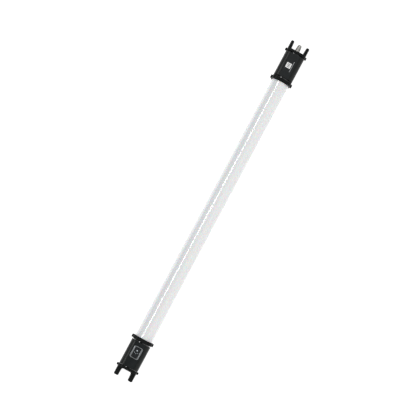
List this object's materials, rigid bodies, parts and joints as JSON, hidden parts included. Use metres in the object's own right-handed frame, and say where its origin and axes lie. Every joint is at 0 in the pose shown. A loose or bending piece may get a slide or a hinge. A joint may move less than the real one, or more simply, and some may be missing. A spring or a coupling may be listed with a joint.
{
  "type": "led light tube",
  "caption": "Battery studio light tube: opal round diffuser between two black rounded-square end caps with eared flanges and guard forks, a keypad and a capped round socket.",
  "frame": {"origin": "middle of the tube's length and width, at the height of the back flats that it lies on", "axes": "+X along the tube towards the end with the socket, +Y to the left when the front faces up and +X points away, +Z out of the front that holds the keypad and the badge"},
  "size_m": [1.2238, 0.077, 0.0666],
  "materials": {
    "opal": "opal, semi-gloss",
    "alloy": "extruded, plain",
    "board_white": "white solder mask",
    "emitter": "phosphor under clear resin",
    "nylon": "matte",
    "cell_steel": "nickel plated",
    "sleeve": "heat-shrink film",
    "board_green": "solder mask",
    "wire": "insulation",
    "rubber": "matte",
    "gasket": "glossy",
    "flange": "fine textured, satin",
    "housing": "fine textured powder coat",
    "black_steel": "black oxide",
    "steel": "zinc plated",
    "brass": "machined",
    "panel": "satin",
    "keypad": "smooth membrane",
    "bezel": "satin anodised",
    "button": "satin",
    "lens": "frosted",
    "switch": "moulded",
    "badge": "satin",
    "badge_ink": "satin",
    "connector_metal": "nickel plated",
    "cap_metal": "bead blasted, nickel plated"
  },
  "bodies": {
    "root": {"diffuser_tube": "opal", "spine": "alloy", "led_board": "board_white", "led_emitters": "emitter", "spine_saddles": "nylon", "battery_cells": "cell_steel", "battery_sleeve": "sleeve", "battery_protection_board": "board_green", "power_wires": "wire", "flange_control_end": "flange", "flange_connector_end": "flange", "tube_seal_control_end": "rubber", "tube_seal_connector_end": "rubber", "inner_neck_ring_control_end": "gasket", "inner_neck_ring_connector_end": "gasket", "outer_neck_ring_control_end": "gasket", "outer_neck_ring_connector_end": "gasket", "housing_control_end": "housing", "housing_connector_end": "housing", "collar_screws_control_end": "black_steel", "collar_screws_connector_end": "black_steel", "fork_control_end": "flange", "fork_connector_end": "flange", "ear_inserts_control_end": "brass", "ear_inserts_connector_end": "brass", "front_panel_control_end": "panel", "keypad_mat": "keypad", "keypad_bezel": "bezel", "indicator_lenses": "lens", "control_board": "board_green", "control_board_carrier": "nylon", "control_board_screws": "steel", "tact_switches": "switch", "front_panel_connector_end": "panel", "badge_plate": "badge", "badge_bars": "badge_ink", "marking_strip": "badge", "driver_board": "board_green", "driver_board_carrier": "nylon", "driver_board_screws": "steel", "driver_components": "switch", "radio_board": "board_green", "socket_shell": "connector_metal", "socket_nut": "connector_metal", "socket_insert": "switch", "socket_pins": "brass", "cap_washer": "rubber"},
    "power_button_body": {"power_button": "button", "power_button_lens": "lens"},
    "mode_button_body": {"mode_button": "button"},
    "socket_cap_body": {"socket_cap": "cap_metal"}
  },
  "joints": [
    {"name": "power_button_press", "type": "slide", "parent": "root", "child": "power_button_body", "axis": [0, 0, -1], "range_m": [0, 0.0006], "stiffness_N_per_m": 900, "springref_m": -0.001},
    {"name": "mode_button_press", "type": "slide", "parent": "root", "child": "mode_button_body", "axis": [0, 0, -1], "range_m": [0, 0.0006], "stiffness_N_per_m": 900, "springref_m": -0.001},
    {"name": "socket_cap_turn", "type": "hinge", "parent": "root", "child": "socket_cap_body", "pos_m": [0.595, 0, 0.0333], "axis": [1, 0, 0], "continuous": true}
  ]
}
